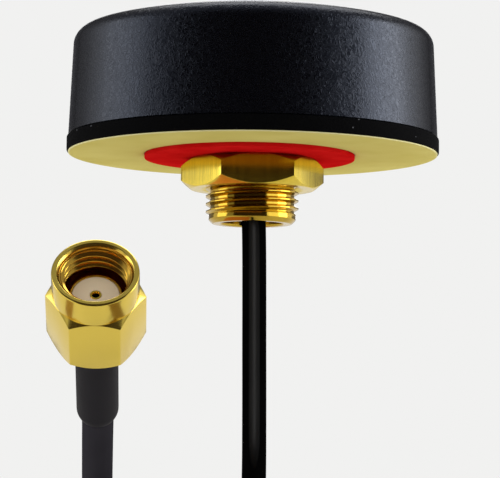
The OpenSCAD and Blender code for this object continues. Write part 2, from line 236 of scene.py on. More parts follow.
def maths(tree, operation, *values):
    node = tree.nodes.new("ShaderNodeMath")
    node.operation = operation
    for value, socket in zip(values, node.inputs):
        feed(tree, value, socket)
    return node.outputs[0]


def vector_maths(tree, operation, *values):
    node = tree.nodes.new("ShaderNodeVectorMath")
    node.operation = operation
    for value, socket in zip(values, node.inputs):
        feed(tree, value, socket)
    return node.outputs["Value" if operation == "LENGTH" else "Vector"]


def parts_of(tree, vector):
    """A vector's X, Y and Z."""
    node = tree.nodes.new("ShaderNodeSeparateXYZ")
    feed(tree, vector, node.inputs[0])
    return node.outputs


def from_axis(tree, vector):
    """How far a place lies from the Z axis."""
    return vector_maths(tree, "LENGTH", vector_maths(tree, "MULTIPLY", vector, (1, 1, 0)))


def new_group(name, kind, inputs, outputs):
    """A node group with named sockets, and its input and output nodes."""
    tree = bpy.data.node_groups.new(name, kind)
    for label, socket in inputs:
        tree.interface.new_socket(label, in_out="INPUT", socket_type="NodeSocket" + socket)
    for label, socket in outputs:
        tree.interface.new_socket(label, in_out="OUTPUT", socket_type="NodeSocket" + socket)
    return tree, tree.nodes.new("NodeGroupInput").outputs, tree.nodes.new("NodeGroupOutput").inputs


def wound_thread_tree():
    """A screw thread's wall as one wound strip, closed to a circle at each end."""
    tree, given, result = new_group(
        "wound thread", "GeometryNodeTree",
        [("Wall Radius", "Float"), ("Groove", "Float"), ("Pitch", "Float"), ("Start", "Float"),
         ("Length", "Float"), ("Phase", "Float"), ("Start Radius", "Float"), ("End Radius", "Float"),
         ("Run Out", "Float"), ("Crest Flat", "Float"), ("Root Flat", "Float"), ("Columns", "Int"),
         ("Rows", "Int"), ("Material", "Material")],
        [("Geometry", "Geometry")])

    def m(operation, *values):
        return maths(tree, operation, *values)

    turns = m("ADD", m("CEIL", m("DIVIDE", given["Length"], given["Pitch"])), 1)
    grid = tree.nodes.new("GeometryNodeMeshGrid")
    for label in ("Size X", "Size Y"):
        grid.inputs[label].default_value = 1
    feed(tree, m("ADD", m("MULTIPLY", turns, given["Columns"]), 1), grid.inputs["Vertices X"])
    feed(tree, m("ADD", given["Rows"], 1), grid.inputs["Vertices Y"])
    place = parts_of(tree, tree.nodes.new("GeometryNodeInputPosition").outputs[0])
    turn = m("MULTIPLY", m("ADD", place["X"], 0.5), turns)
    across = m("ADD", place["Y"], 0.5)
    angle = m("MULTIPLY", m("ADD", turn, given["Phase"]), math.tau)
    end = m("ADD", given["Start"], given["Length"])
    wound = m("MULTIPLY", m("SUBTRACT", m("ADD", turn, across), 1), given["Pitch"])
    height = m("MINIMUM", m("MAXIMUM", m("ADD", given["Start"], wound), given["Start"]), end)

    def share(value):
        return m("MINIMUM", m("MAXIMUM", value, 0), 1)

    from_crest = m("ABSOLUTE", m("SUBTRACT", m("MULTIPLY", across, 2), 1))
    flank = m("SUBTRACT", m("SUBTRACT", 1, given["Crest Flat"]), given["Root Flat"])
    depth = share(m("DIVIDE", m("SUBTRACT", from_crest, given["Crest Flat"]), flank))
    radius = m("SUBTRACT", given["Wall Radius"], m("MULTIPLY", depth, given["Groove"]))
    lower = share(m("DIVIDE", m("SUBTRACT", height, given["Start"]), given["Run Out"]))
    upper = share(m("DIVIDE", m("SUBTRACT", end, height), given["Run Out"]))
    for amount, limit in ((lower, given["Start Radius"]), (upper, given["End Radius"])):
        radius = m("ADD", limit, m("MULTIPLY", m("SUBTRACT", radius, limit), amount))
    joined = tree.nodes.new("ShaderNodeCombineXYZ")
    feed(tree, m("MULTIPLY", radius, m("COSINE", angle)), joined.inputs["X"])
    feed(tree, m("MULTIPLY", radius, m("SINE", angle)), joined.inputs["Y"])
    feed(tree, height, joined.inputs["Z"])
    moved = tree.nodes.new("GeometryNodeSetPosition")
    feed(tree, grid.outputs["Mesh"], moved.inputs["Geometry"])
    feed(tree, joined.outputs[0], moved.inputs["Position"])
    welded = tree.nodes.new("GeometryNodeMergeByDistance")
    feed(tree, moved.outputs[0], welded.inputs["Geometry"])
    welded.inputs["Distance"].default_value = WELD
    real = tree.nodes.new("GeometryNodeRealizeInstances")
    feed(tree, welded.outputs[0], real.inputs[0])
    painted = tree.nodes.new("GeometryNodeSetMaterial")
    feed(tree, real.outputs[0], painted.inputs["Geometry"])
    feed(tree, given["Material"], painted.inputs["Material"])
    feed(tree, painted.outputs[0], result["Geometry"])
    return tree


def evaluated_mesh(piece):
    """The piece's mesh with its modifiers worked in."""
    bpy.context.view_layer.update()
    return bpy.data.meshes.new_from_object(piece.evaluated_get(bpy.context.evaluated_depsgraph_get()))


def thread_mesh(tree, material, **sizes):
    """The wall that the thread tree makes with these sizes, as a plain mesh in millimetres."""
    holder = bpy.data.objects.new("thread", bpy.data.meshes.new("thread"))
    bpy.context.scene.collection.objects.link(holder)
    modifier = holder.modifiers.new("thread", "NODES")
    modifier.node_group = tree
    values = {label.replace("_", " ").title(): value for label, value in sizes.items()}
    values.update({"Columns": COLUMNS, "Rows": 16, "Material": material})
    for item in tree.interface.items_tree:
        if item.in_out == "INPUT":
            modifier[item.identifier] = values[item.name]
    mesh = evaluated_mesh(holder)
    bpy.data.objects.remove(holder)
    return mesh


# Shapes, in millimetres about the Z axis


def eased(corners, closed=True, steps=4):
    """Outline points from corners (radius, height, easing), with each eased corner as a curve."""
    points = []
    for i, corner in enumerate(corners):
        here = Vector(corner[:2])
        easing = corner[2] if len(corner) > 2 else 0
        if easing == 0 or (not closed and i in (0, len(corners) - 1)):
            points.append(tuple(here))
            continue
        before = (Vector(corners[i - 1][:2]) - here).normalized() * easing
        after = (Vector(corners[(i + 1) % len(corners)][:2]) - here).normalized() * easing
        for k in range(steps + 1):
            s = k / steps
            points.append(tuple(here + before * (1 - s) ** 2 + after * s ** 2))
    return points


def add_rings(shape, rings, closed=True):
    """Adds a skin over rings of (radius, height), each a number or a function of the share of a turn.
    A third value moves a ring along X."""
    made = []
    for radius, height, *shift in rings:
        if radius == 0:
            made.append([shape.verts.new((0, 0, height))])
            continue
        ring = []
        for k in range(COLUMNS):
            turn = k / COLUMNS
            r = radius(turn) if callable(radius) else radius
            z = height(turn) if callable(height) else height
            x = r * math.cos(math.tau * turn) + (shift[0] if shift else 0)
            ring.append(shape.verts.new((x, r * math.sin(math.tau * turn), z)))
        made.append(ring)
    following = made[1:] + (made[:1] if closed else [])
    for ring, after in zip(made, following):
        for k in range(COLUMNS if len(ring) + len(after) > 2 else 0):
            corners = [ring[k % len(ring)], ring[(k + 1) % len(ring)],
                       after[(k + 1) % len(after)], after[k % len(after)]]
            shape.faces.new(list(dict.fromkeys(corners)))


def piece_from(name, shape, bevel=0, place=Matrix.Identity(4)):
    """A finished object at the origin, from a shape in millimetres."""
    bmesh.ops.remove_doubles(shape, verts=shape.verts, dist=WELD)
    bmesh.ops.dissolve_degenerate(shape, edges=shape.edges, dist=WELD / 10)
    loose = [edge for edge in shape.edges if not edge.link_faces]
    bmesh.ops.delete(shape, geom=loose, context="EDGES")
    bmesh.ops.recalc_face_normals(shape, faces=shape.faces)
    mesh = bpy.data.meshes.new(name)
    shape.to_mesh(mesh)
    shape.free()
    piece = bpy.data.objects.new(name, mesh)
    bpy.context.scene.collection.objects.link(piece)
    if bevel:
        edge = piece.modifiers.new("edges", "BEVEL")
        edge.width = bevel
        edge.segments = 2
        edge.limit_method = "ANGLE"
        edge.angle_limit = math.radians(28)
        edge.use_clamp_overlap = True
        piece.data = evaluated_mesh(piece)
        piece.modifiers.clear()
        bpy.data.meshes.remove(mesh)
        piece.data.name = name
    piece.data.transform(place @ Matrix.Scale(MM, 4))
    piece.data.shade_smooth()
    piece.data.set_sharp_from_angle(angle=math.radians(32))
    return piece


def turned(name, outline, **finish):
    shape = bmesh.new()
    add_rings(shape, outline)
    return piece_from(name, shape, **finish)


def hexagon(across_flats):
    """Distance from the axis to a hexagon's side, as a function of the share of a turn."""
    def radius(turn):
        return across_flats / 2 / math.cos(math.radians(60) * ((turn * 6) % 1 - 0.5))
    return radius


def chamfer_edge(across_flats, circle_r, face, rise):
    """Height of the curved edge where a chamfer that starts at circle_r meets the flats."""
    side = hexagon(across_flats)
    corner_r = across_flats / math.sqrt(3)
    return lambda turn: face + rise * (side(turn) - circle_r) / (corner_r - circle_r)


def plug_place():
    return (Matrix.Translation(PLUG_AT * MM) @ Matrix.Rotation(math.radians(PLUG_YAW), 4, "Z")
            @ Matrix.Rotation(math.radians(PLUG_TILT), 4, "X"))


# Shared surface effects


def texture(tree, kind, vector, **settings):
    node = tree.nodes.new("ShaderNodeTex" + kind)
    for label, value in settings.items():
        if label.islower():
            setattr(node, label, value)
        else:
            feed(tree, value, node.inputs[label.replace("_", " ")])
    feed(tree, vector, node.inputs["Vector"])
    return node


def graded(tree, value, low, high, to_low=0.0, to_high=1.0):
    """A value carried from one range to another, and kept inside it."""
    node = tree.nodes.new("ShaderNodeMapRange")
    for given, socket in zip((value, low, high, to_low, to_high), node.inputs):
        feed(tree, given, socket)
    return node.outputs[0]


def grain_group():
    """Leather-like moulded grain: curly creases between rounded ridges."""
    tree, given, result = new_group("moulded grain", "ShaderNodeTree",
                                    [("Vector", "Vector"), ("Scale", "Float")],
                                    [("Height", "Float"), ("Crease", "Float")])
    curls = texture(tree, "Noise", given["Vector"], Scale=given["Scale"], Detail=1.0, Distortion=1.6)
    ridge = graded(tree, maths(tree, "ABSOLUTE", maths(tree, "SUBTRACT", curls.outputs[0], 0.5)), 0.0, 0.14)
    fine = texture(tree, "Noise", given["Vector"], Scale=maths(tree, "MULTIPLY", given["Scale"], 2.2),
                   Detail=2.0)
    feed(tree, maths(tree, "ADD", ridge, maths(tree, "MULTIPLY", fine.outputs[0], 0.5)), result["Height"])
    feed(tree, maths(tree, "SUBTRACT", 1, ridge), result["Crease"])
    return tree


def speck_group():
    """Sparse specks: a few cells of a fine pattern hold one small dot each."""
    tree, given, result = new_group("specks", "ShaderNodeTree",
                                    [("Vector", "Vector"), ("Scale", "Float"), ("Share", "Float"),
                                     ("Size", "Float")],
                                    [("Mask", "Float")])
    cells = texture(tree, "Voronoi", given["Vector"], Scale=given["Scale"])
    dot = maths(tree, "LESS_THAN", cells.outputs["Distance"], given["Size"])
    lot = tree.nodes.new("ShaderNodeSeparateColor")
    feed(tree, cells.outputs["Color"], lot.inputs[0])
    chosen = maths(tree, "LESS_THAN", lot.outputs[0], given["Share"])
    feed(tree, maths(tree, "MULTIPLY", dot, chosen), result["Mask"])
    return tree


def brush_group():
    """Fine lines along one direction, as a cutting tool or a brush leaves them."""
    tree, given, result = new_group("brushed lines", "ShaderNodeTree",
                                    [("Vector", "Vector"), ("Fineness", "Vector")],
                                    [("Height", "Float"), ("Tone", "Float")])
    drawn = vector_maths(tree, "MULTIPLY", given["Vector"], given["Fineness"])
    fine = texture(tree, "Noise", drawn, Scale=1.0, Detail=4.0)
    broad = texture(tree, "Noise", drawn, Scale=0.25, Detail=2.0)
    feed(tree, fine.outputs[0], result["Height"])
    feed(tree, maths(tree, "MULTIPLY", maths(tree, "ADD", fine.outputs[0], broad.outputs[0]), 0.5),
         result["Tone"])
    return tree


def mottle_group():
    """Soft cloudy change of tone with a fine tooth, for plain moulded and rubber surfaces."""
    tree, given, result = new_group("mottle", "ShaderNodeTree",
                                    [("Vector", "Vector"), ("Cloud", "Float"), ("Tooth", "Float")],
                                    [("Tone", "Float"), ("Height", "Float")])
    cloud = texture(tree, "Noise", given["Vector"], Scale=given["Cloud"], Detail=2.0)
    tooth = texture(tree, "Noise", given["Vector"], Scale=given["Tooth"], Detail=3.0)
    feed(tree, cloud.outputs[0], result["Tone"])
    feed(tree, tooth.outputs[0], result["Height"])
    return tree


GRAIN = grain_group()
SPECKS = speck_group()
BRUSH = brush_group()
MOTTLE = mottle_group()


# Materials


def shade(red, green, blue):
    """A colour as it looks on a screen, 0 to 255, as the shader wants it."""
    def linear(value):
        part = value / 255
        return part / 12.92 if part <= 0.04045 else ((part + 0.055) / 1.055) ** 2.4
    return (linear(red), linear(green), linear(blue), 1)


def new_material(name, **settings):
    """A material's tree, its shader and its object coordinates."""
    material = bpy.data.materials.new(name)
    material.use_nodes = True
    tree = material.node_tree
    shader = tree.nodes["Principled BSDF"]
    for label, value in settings.items():
        shader.inputs[label.replace("_", " ")].default_value = value
    return material, tree, shader, tree.nodes.new("ShaderNodeTexCoord").outputs["Object"]


def in_reflections(tree):
    """1 for rays that another piece's gloss sends out."""
    return tree.nodes.new("ShaderNodeLightPath").outputs["Is Glossy Ray"]


def outline_share(tree):
    """0 where a surface faces the eye, 1 at its outline. It drives gloss alone."""
    node = tree.nodes.new("ShaderNodeLayerWeight")
    node.inputs["Blend"].default_value = 0.5
    return node.outputs["Facing"]


def placed(tree, group, **inputs):
    node = tree.nodes.new("ShaderNodeGroup")
    node.node_tree = group
    for label, value in inputs.items():
        feed(tree, value, node.inputs[label])
    return node.outputs


def blended(tree, amount, low, high):
    """A colour between two colours."""
    node = tree.nodes.new("ShaderNodeMix")
    node.data_type = "RGBA"
    feed(tree, amount, node.inputs["Factor"])
    feed(tree, low, node.inputs[6])
    feed(tree, high, node.inputs[7])
    return node.outputs[2]


def bumped(tree, shader, height, depth, strength=1.0):
    """Gives the shader's surface a relief of this depth, in millimetres."""
    node = tree.nodes.new("ShaderNodeBump")
    node.inputs["Strength"].default_value = strength
    node.inputs["Distance"].default_value = depth * MM
    feed(tree, height, node.inputs["Height"])
    feed(tree, node.outputs[0], shader.inputs["Normal"])


def cap_plastic():
    """Black plastic with a moulded grain, glossy on its dome and less and less so towards its outline."""
    material, tree, shader, here = new_material("cap plastic", Specular_IOR_Level=0.5,
                                                Specular_Tint=(0.66, 0.76, 1.0, 1))
    grain = placed(tree, GRAIN, Vector=here, Scale=1700.0)
    tone = blended(tree, grain["Crease"], shade(2, 2, 5), shade(1, 1, 3))
    feed(tree, tone, shader.inputs["Base Color"])
    side = graded(tree, outline_share(tree), 0.42, 0.76, 0.5, 0.03)
    normal = parts_of(tree, tree.nodes.new("ShaderNodeNewGeometry").outputs["Normal"])
    dome = graded(tree, normal["Z"], 0.85, 0.97, 0.0, 0.5)
    feed(tree, maths(tree, "MAXIMUM", side, dome), shader.inputs["Specular IOR Level"])
    feed(tree, graded(tree, grain["Crease"], 0.0, 1.0, 0.22, 0.36), shader.inputs["Roughness"])
    bumped(tree, shader, grain["Height"], 0.022, 0.6)
    return material


def pad_foam():
    material, tree, shader, here = new_material("pad foam", Specular_IOR_Level=0.04)
    cells = texture(tree, "Voronoi", here, Scale=4200.0)
    specks = placed(tree, SPECKS, Vector=here, Scale=1500.0, Share=0.05, Size=0.16)["Mask"]
    dark = blended(tree, cells.outputs["Distance"], shade(2, 2, 3), shade(7, 7, 8))
    feed(tree, blended(tree, specks, dark, shade(84, 85, 88)), shader.inputs["Base Color"])
    feed(tree, graded(tree, cells.outputs["Distance"], 0.0, 1.0, 0.72, 0.92), shader.inputs["Roughness"])
    bumped(tree, shader, cells.outputs["Distance"], 0.05, 0.6)
    return material


def liner_paper():
    """Release paper, paler at its rim. Glossy rays see its front in a darker brown: a painted reflection for
    the nut's front face.
    """
    rim_from, rim_to = liner_high.x - 0.25, liner_high.x - 0.05
    front_from, front_to = -9, -13
    material, tree, shader, here = new_material("liner paper", Specular_IOR_Level=0.0)
    fibres = placed(tree, MOTTLE, Vector=here, Cloud=120.0, Tooth=2600.0)
    tone = blended(tree, graded(tree, fibres["Tone"], 0.3, 0.7), shade(196, 180, 98),
                   shade(205, 191, 112))
    rim = graded(tree, from_axis(tree, here), rim_from * MM, rim_to * MM)
    plain = blended(tree, rim, tone, shade(216, 208, 152))
    front = graded(tree, parts_of(tree, here)["Y"], front_from * MM, front_to * MM)
    # Painted reflection: in glossy rays the front of the paper turns dark brown, for the nut's front face
    painted_reflection_share = maths(tree, "MULTIPLY", in_reflections(tree), front)
    feed(tree, blended(tree, painted_reflection_share, plain, shade(132, 88, 30)), shader.inputs["Base Color"])
    feed(tree, graded(tree, fibres["Height"], 0.0, 1.0, 0.5, 0.7), shader.inputs["Roughness"])
    bumped(tree, shader, fibres["Height"], 0.01, 0.3)
    return material


def red_fibre():
    """Red fibre. Glossy rays see painted reflection colours instead: dull red near the nut's faces, and
    brown to yellow further out, for the nut's reflections.
    """
    near_from, near_to = 8.6, 9.2
    side_from, side_to = 4, 9
    material, tree, shader, here = new_material("red fibre", Specular_IOR_Level=0.0)
    fibres = placed(tree, MOTTLE, Vector=here, Cloud=260.0, Tooth=3200.0)
    tone = blended(tree, graded(tree, fibres["Tone"], 0.3, 0.7), shade(190, 16, 17), shade(204, 26, 25))
    # Painted reflection colours that only glossy rays see, for the nut's faces
    sideways = maths(tree, "ABSOLUTE", parts_of(tree, here)["X"])
    outer = blended(tree, graded(tree, sideways, side_from * MM, side_to * MM), shade(140, 88, 20),
                    shade(224, 192, 82))
    outwards = graded(tree, vector_maths(tree, "LENGTH", here), near_from * MM, near_to * MM)
    painted_reflection_colour = blended(tree, outwards, shade(150, 30, 14), outer)
    feed(tree, blended(tree, in_reflections(tree), tone, painted_reflection_colour), shader.inputs["Base Color"])
    feed(tree, graded(tree, fibres["Height"], 0.0, 1.0, 0.45, 0.62), shader.inputs["Roughness"])
    bumped(tree, shader, fibres["Height"], 0.01, 0.25)
    return material


def plated(name, colour, roughness, fineness, tone_share, relief):
    """Gold plating on turned or milled brass. Fineness is how close the tool's lines lie on each axis."""
    material, tree, shader, here = new_material(name, Metallic=1.0)
    lines = placed(tree, BRUSH, Vector=here, Fineness=fineness)
    darker = tuple(part * (1 - tone_share) for part in colour[:3]) + (1,)
    feed(tree, blended(tree, graded(tree, lines["Tone"], 0.35, 0.65), darker, colour),
         shader.inputs["Base Color"])
    feed(tree, graded(tree, lines["Tone"], 0.3, 0.7, roughness * 0.85, roughness * 1.2),
         shader.inputs["Roughness"])
    bumped(tree, shader, lines["Height"], relief, 0.5)
    return material


GOLD = (0.92, 0.69, 0.12, 1)
NUT_GOLD = (0.88, 0.66, 0.08, 1)
# Redder gold for the plug's mouth: a painted reflection of the gold on itself
MOUTH_PAINTED_REFLECTION_GOLD = (0.95, 0.58, 0.08, 1)
WARM_GOLD = (0.88, 0.5, 0.04, 1)
STUD_GOLD = (0.6, 0.4, 0.045, 1)
UPRIGHT_LINES = (5000.0, 5000.0, 250.0)
EVEN_LINES = (1800.0, 1800.0, 1800.0)
SHEET_LINES = (300.0, 4000.0, 4000.0)
BROAD_LINES = (900.0, 900.0, 900.0)


def coupling_plating():
    """The plug's gold, redder in the mouth: a painted reflection, standing in for the gold mirroring itself
    there.
    """
    material, tree, shader, here = new_material("coupling gold", Metallic=1.0)
    along = tree.nodes.new("ShaderNodeMapping")
    along.vector_type = "TEXTURE"
    feed(tree, here, along.inputs["Vector"])
    along.inputs["Location"].default_value = PLUG_AT * MM
    along.inputs["Rotation"].default_value = (math.radians(PLUG_TILT), 0, math.radians(PLUG_YAW))
    # Painted reflection: the base colour turns redder inside the mouth
    inside = graded(tree, from_axis(tree, along.outputs[0]), (lip_r + 0.2) * MM, (lip_r + 0.02) * MM)
    feed(tree, blended(tree, inside, GOLD, MOUTH_PAINTED_REFLECTION_GOLD), shader.inputs["Base Color"])
    lines = placed(tree, BRUSH, Vector=here, Fineness=EVEN_LINES)
    feed(tree, graded(tree, lines["Tone"], 0.3, 0.7, 0.15, 0.22), shader.inputs["Roughness"])
    bumped(tree, shader, lines["Height"], 0.003, 0.5)
    return material


def moulded(name, colour, roughness, variation=0.15, relief=0.006, **settings):
    """Plain plastic, rubber or resin with a soft change of tone and a fine tooth."""
    material, tree, shader, here = new_material(name, **settings)
    cloud = placed(tree, MOTTLE, Vector=here, Cloud=220.0, Tooth=3500.0)
    darker = tuple(part * (1 - variation) for part in colour[:3]) + (1,)
    feed(tree, blended(tree, graded(tree, cloud["Tone"], 0.35, 0.65), darker, colour),
         shader.inputs["Base Color"])
    feed(tree, graded(tree, cloud["Height"], 0.0, 1.0, roughness * 0.9, roughness * 1.1),
         shader.inputs["Roughness"])
    bumped(tree, shader, cloud["Height"], relief, 0.4)
    return material


def lead_jacket():
    """Smooth black jacket, with a painted lighter grey towards the plug, standing in for brighter light on
    that stretch.
    """
    grey_from, grey_to = -54, -60
    material, tree, shader, here = new_material("lead jacket")
    tooth = placed(tree, MOTTLE, Vector=here, Cloud=220.0, Tooth=3500.0)
    black = blended(tree, tooth["Tone"], shade(3, 3, 3), shade(6, 6, 6))
    # Painted light: the jacket turns a lighter grey near the plug
    grey = blended(tree, tooth["Tone"], shade(42, 40, 44), shade(52, 50, 54))
    painted_light_near_plug = graded(tree, parts_of(tree, here)["Y"], grey_from * MM, grey_to * MM)
    feed(tree, blended(tree, painted_light_near_plug, black, grey), shader.inputs["Base Color"])
    feed(tree, graded(tree, tooth["Height"], 0.0, 1.0, 0.36, 0.46), shader.inputs["Roughness"])
    gloss = graded(tree, outline_share(tree), 0.0, 0.13, 0.5, 0.0)
    feed(tree, gloss, shader.inputs["Specular IOR Level"])
    bumped(tree, shader, tooth["Height"], 0.003, 0.3)
    return material


def board_laminate():
    material, tree, shader, here = new_material("board laminate", Coat_Weight=0.4, Coat_Roughness=0.15)
    weave = texture(tree, "Brick", here, Scale=1400.0, Color1=shade(30, 92, 54), Color2=shade(24, 80, 46),
                    Mortar=shade(20, 66, 38))
    feed(tree, weave.outputs["Color"], shader.inputs["Base Color"])
    cloud = placed(tree, MOTTLE, Vector=here, Cloud=200.0, Tooth=2500.0)
    feed(tree, graded(tree, cloud["Tone"], 0.0, 1.0, 0.3, 0.5), shader.inputs["Roughness"])
    bumped(tree, shader, weave.outputs["Fac"], 0.01, 0.3)
    return material


def braid_wire():
    material, tree, shader, here = new_material("braid wire", Metallic=1.0)
    weave = texture(tree, "Checker", here, Scale=4500.0, Color1=shade(200, 196, 184),
                    Color2=shade(120, 116, 104))
    feed(tree, weave.outputs["Color"], shader.inputs["Base Color"])
    feed(tree, graded(tree, weave.outputs["Fac"], 0.0, 1.0, 0.3, 0.45), shader.inputs["Roughness"])
    bumped(tree, shader, weave.outputs["Fac"], 0.03, 0.6)
    return material


FINISHES = {
    "cap_plastic": cap_plastic(),
    "seal_rubber": moulded("seal rubber", shade(26, 26, 28), 0.7),
    "base_plastic": moulded("base plastic", shade(30, 31, 35), 0.5),
    "pad_foam": pad_foam(),
    "liner_paper": liner_paper(),
    "stud_brass": plated("stud brass", STUD_GOLD, 0.11, EVEN_LINES, 0.12, 0.002),
    "red_fibre": red_fibre(),
    "nut_brass": plated("nut brass", NUT_GOLD, 0.19, UPRIGHT_LINES, 0.2, 0.005),
    "board_laminate": board_laminate(),
    "screw_steel": plated("screw steel", shade(190, 192, 196), 0.3, EVEN_LINES, 0.15, 0.004),
    "spacer_plastic": moulded("spacer plastic", shade(230, 226, 216), 0.45),
    "radiator_sheet": plated("radiator sheet", shade(220, 150, 100), 0.3, SHEET_LINES, 0.15, 0.004),
    "pin_brass": plated("pin brass", WARM_GOLD, 0.25, EVEN_LINES, 0.12, 0.003),
    "solder": plated("solder", shade(205, 207, 210), 0.22, BROAD_LINES, 0.12, 0.008),
    "braid_wire": braid_wire(),
    "coax_white": moulded("coax insulation", shade(232, 229, 222), 0.4),
    "core_wire": plated("core wire", shade(214, 150, 96), 0.22, UPRIGHT_LINES, 0.1, 0.002),
    "potting_resin": moulded("potting resin", shade(20, 20, 24), 0.28, Coat_Weight=0.3),
    "lead_jacket": lead_jacket(),
    "tie_nylon": moulded("tie nylon", shade(16, 16, 17), 0.4),
    "sleeve_plastic": moulded("shrink sleeve", shade(36, 34, 37), 0.6, relief=0.01,
                              Specular_IOR_Level=0.1),
    "ferrule_gold": plated("ferrule gold", GOLD, 0.3, UPRIGHT_LINES, 0.15, 0.004),
    "plug_gold": plated("plug gold", GOLD, 0.16, EVEN_LINES, 0.08, 0.002),
    "plug_rubber": moulded("plug rubber", shade(120, 20, 14), 0.5),
    "plug_white": moulded("plug insulator", shade(255, 236, 198), 0.4, variation=0.05),
    "socket_gold": plated("socket gold", NUT_GOLD, 0.2, EVEN_LINES, 0.1, 0.002),
    "coupling_gold": coupling_plating(),
}

for row in frame["record"]["subparts"]:
    node = frame["nodes"][row["node"]]
    node.data.materials.clear()
    node.data.materials.append(FINISHES[row["material_slot"]])


# Pieces


def fit(piece, body, slot, *nodes):
    """Paints a piece, joins it to its body and lets it stand for its solids."""
    piece.data.materials.clear()
    piece.data.materials.append(FINISHES[slot])
    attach(piece, body)
    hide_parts(*nodes)
    return piece


def cap_half(rim_r, side_r, rim_z, side_z, edge_r, rise, arc_steps, dome_steps):
    """Half of the cap's section from the rim up to the middle of the dome."""
    dome_r = side_r - edge_r
    lean = math.pi / 2 - math.atan(2 * rise / dome_r)
    points = [(rim_r, rim_z), (side_r, side_z)]
    for k in range(1, arc_steps + 1):
        angle = lean * k / arc_steps
        points.append((dome_r + edge_r * math.cos(angle), side_z + edge_r * math.sin(angle)))
    end_r, end_z = points[-1]
    for k in range(1, dome_steps + 1):
        left = 1 - k / dome_steps
        points.append((end_r * left, end_z + rise * (1 - left ** 2)))
    return points


def radome_cap():
    rim_r = cap_high.x
    side_r = rim_r - cap_draft
    outside = cap_half(rim_r, side_r, cap_low.z, shoulder_z, shoulder_r, dome_rise, 10, 24)
    inner_z = shoulder_z + shoulder_r - inner_edge_r - cap_wall
    inside = cap_half(rim_r - cap_wall, side_r - cap_wall, rebate_top, inner_z, inner_edge_r,
                      dome_rise, 4, 16)
    rim_ease = 0.12
    foot = [(rebate_r, rebate_top), (rebate_r, cap_low.z), (rim_r - rim_ease, cap_low.z),
            (rim_r, cap_low.z + rim_ease)]
    return turned("radome_cap_shell", foot + outside[1:] + inside[::-1])


def foam_pad():
    outer = eased([(pad_high.x - 4, pad_low.z), (pad_high.x, pad_low.z, 0.25), (pad_high.x, pad_high.z, 0.3),
                   (pad_high.x - 4, pad_high.z)], closed=False)
    hole = [(seat_hole_r, pad_high.z, seat_offset), (seat_hole_r, pad_low.z, seat_offset)]
    return turned("foam_ring", outer + hole)


def pad_liner():
    edge = [(liner_high.x, liner_low.z), (liner_high.x, liner_high.z)]
    hole = [(liner_hole_r, liner_high.z, seat_offset), (liner_hole_r, liner_low.z, seat_offset)]
    return turned("liner_ring", edge + hole, bevel=0.03)


def red_washer():
    outline = eased([(washer_hole_r, washer_low.z, 0.08), (washer_r, washer_low.z, 0.12),
                     (washer_r, washer_high.z, 0.08), (washer_hole_r, washer_high.z, 0.08)])
    return turned("fibre_washer", [point + (seat_offset,) for point in outline])


def mount_nut():
    circle_r = nut_af / 2 - 0.03
    side = hexagon(nut_af)
    low, high = nut_low.z, nut_high.z
    rings = [(nut_bore_r, low + mouth_chamfer), (nut_bore_r + mouth_chamfer, low), (circle_r, low),
             (side, chamfer_edge(nut_af, circle_r, low, nut_chamfer)),
             (side, chamfer_edge(nut_af, circle_r, high, -nut_chamfer)),
             (circle_r, high), (nut_bore_r + mouth_chamfer, high), (nut_bore_r, high - mouth_chamfer)]
    turn = Matrix.Rotation(math.radians(nut_turned), 4, "Z")
    return turned("hexagon_nut", rings, bevel=0.09, place=turn)


def threaded_stud(thread):
    wall = thread_mesh(thread, FINISHES["stud_brass"], wall_radius=stud_r, groove=stud_groove,
                       pitch=stud_pitch, start=pilot_z, length=-pilot_z - 0.1, phase=stud_phase,
                       start_radius=pilot_r, end_radius=stud_r, run_out=0.35,
                       crest_flat=CREST_FLAT, root_flat=ROOT_FLAT)
    shape = bmesh.new()
    shape.from_mesh(wall)
    rest = eased([(stud_r, -0.1), (stud_r, flange_base), (flange_r, flange_base, 0.15),
                  (flange_r, stud_high.z, 0.15), (stud_bore_r, stud_high.z, 0.15),
                  (stud_bore_r, stud_low.z, 0.3), (pilot_r - stud_chamfer, stud_low.z, 0.12),
                  (pilot_r, stud_low.z + stud_chamfer, 0.12), (pilot_r, pilot_z)], closed=False)
    add_rings(shape, rest, closed=False)
    return piece_from("stud_with_thread", shape)


def coupling_nut(thread):
    wall = thread_mesh(thread, FINISHES["coupling_gold"], wall_radius=thread_r, groove=-plug_groove,
                       pitch=plug_pitch, start=thread_back, length=lip_back - thread_back, phase=0.0,
                       start_radius=thread_r + plug_groove, end_radius=thread_r + plug_groove,
                       run_out=0.2, crest_flat=CREST_FLAT, root_flat=ROOT_FLAT)
    shape = bmesh.new()
    shape.from_mesh(wall)
    collar_r = plug_af / 2
    circle_r = collar_r - 0.02
    side = hexagon(plug_af)
    mouth = eased([(thread_r + plug_groove, lip_back), (lip_r, lip_back, 0.04), (lip_r, -0.3, 0.06),
                   (lip_r + 0.22, 0, 0.06), (collar_r, 0, 0.2), (collar_r, collar_back + 0.1),
                   (circle_r, collar_back)], closed=False)
    hexagon_part = [(side, chamfer_edge(plug_af, circle_r, collar_back, -plug_chamfer)),
                    (side, chamfer_edge(plug_af, circle_r, plug_back, plug_chamfer)),
                    (circle_r - 0.1, plug_back)]
    low, high = snap_groove
    inside = [(back_bore_r, plug_back), (back_bore_r, low), (snap_groove_r, low), (snap_groove_r, high),
              (back_bore_r, high), (back_bore_r, chamber_back), (lip_r, chamber_back), (lip_r, thread_back),
              (thread_r + plug_groove, thread_back)]
    add_rings(shape, mouth + hexagon_part + inside, closed=False)
    return piece_from("plug_coupling_nut", shape, bevel=0.09, place=plug_place())


